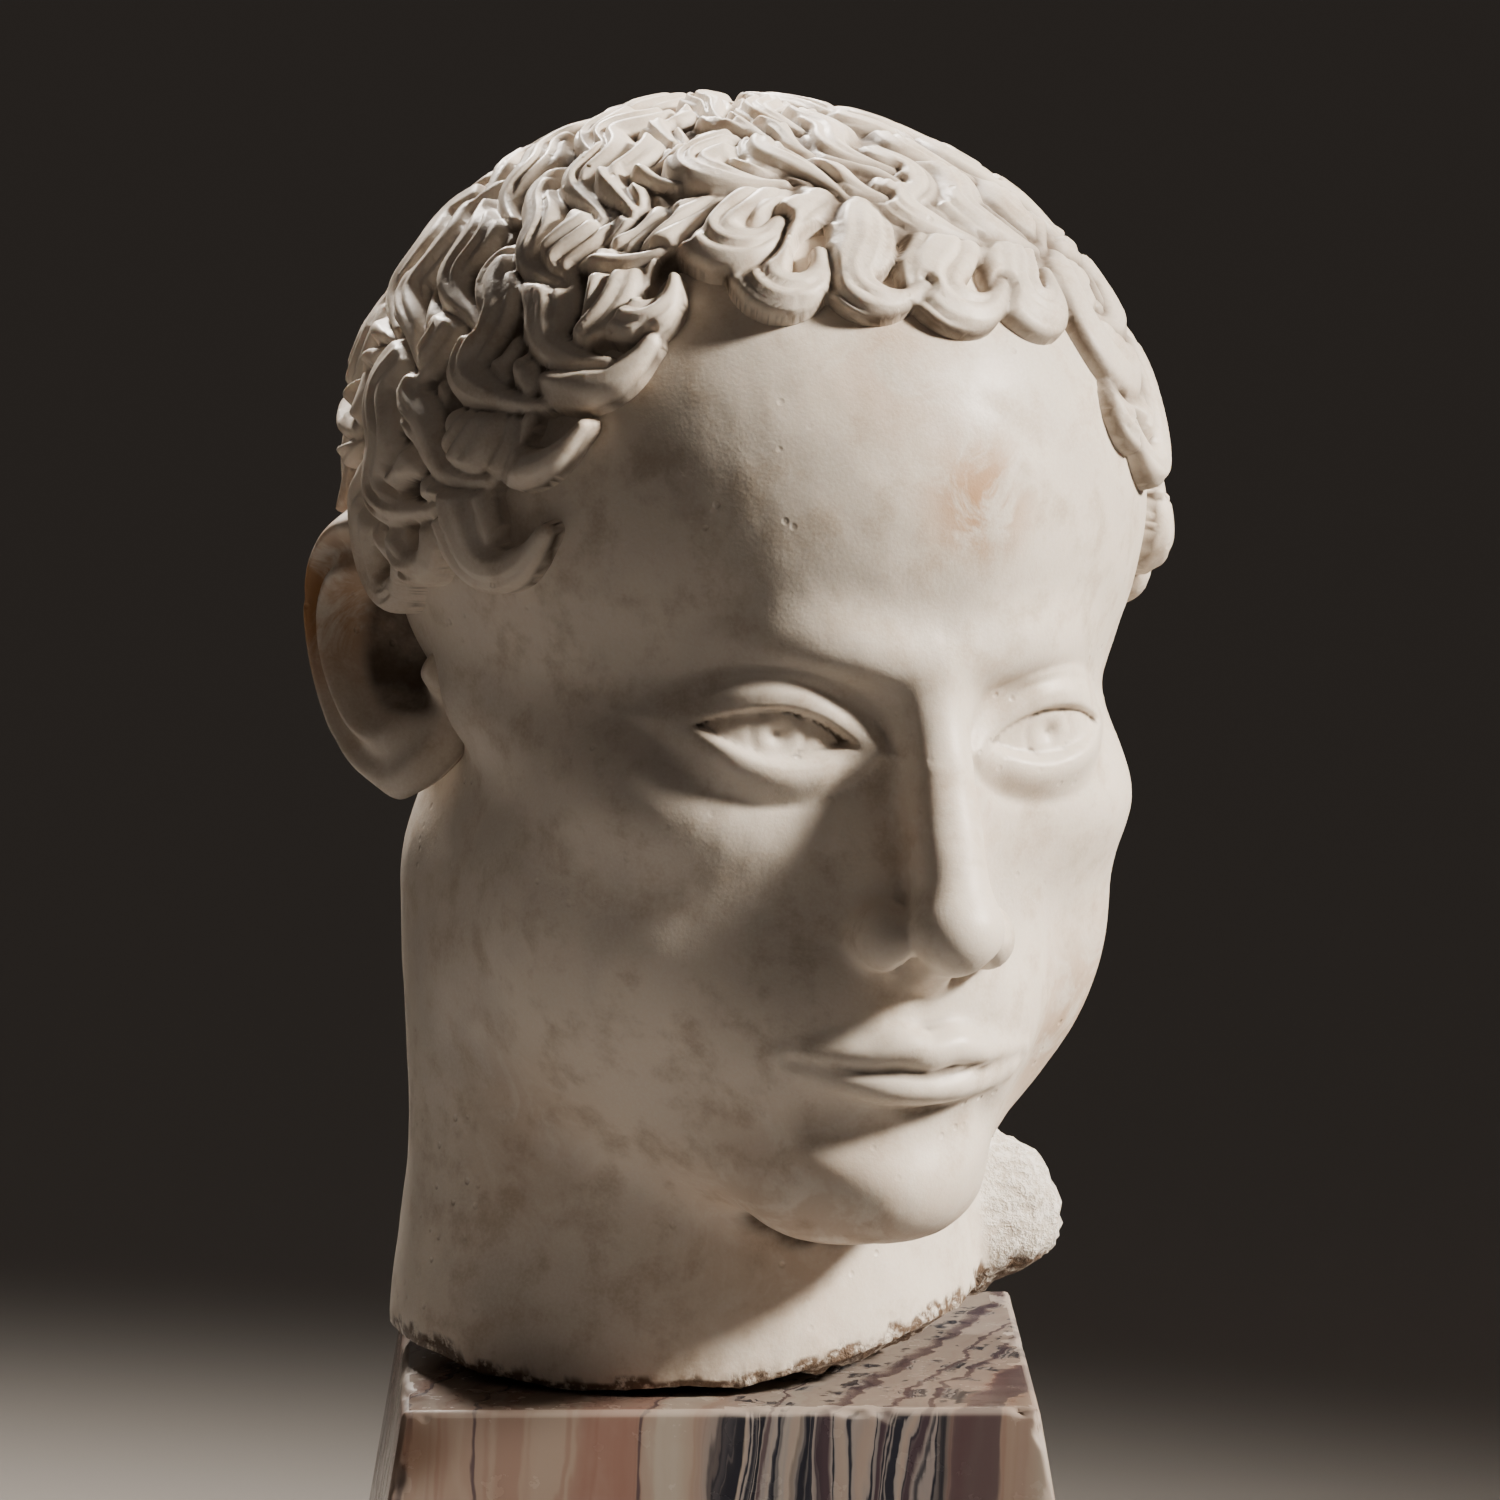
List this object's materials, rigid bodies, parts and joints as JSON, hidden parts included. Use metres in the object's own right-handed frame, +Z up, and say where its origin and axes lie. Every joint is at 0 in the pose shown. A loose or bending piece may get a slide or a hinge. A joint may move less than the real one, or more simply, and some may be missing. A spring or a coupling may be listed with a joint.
{
  "type": "marble head sculpture",
  "caption": "Over-life-size carved marble head, broken off at the neck, with short wavy locks and a turned pose, on a tapered block of veined marble",
  "frame": {"origin": "centre of the plinth's underside", "axes": "+Z up, the plinth's front face looks along -Y, +X to the right of someone facing that front"},
  "size_m": [0.2271, 0.246, 0.4431],
  "materials": {
    "statuary_marble": "worn satin white marble with grey clouds and brown stains",
    "veined_marble": "polished pink and beige marble with black and grey veins"
  },
  "bodies": {
    "root": {"head": "statuary_marble", "plinth": "veined_marble"}
  },
  "joints": []
}
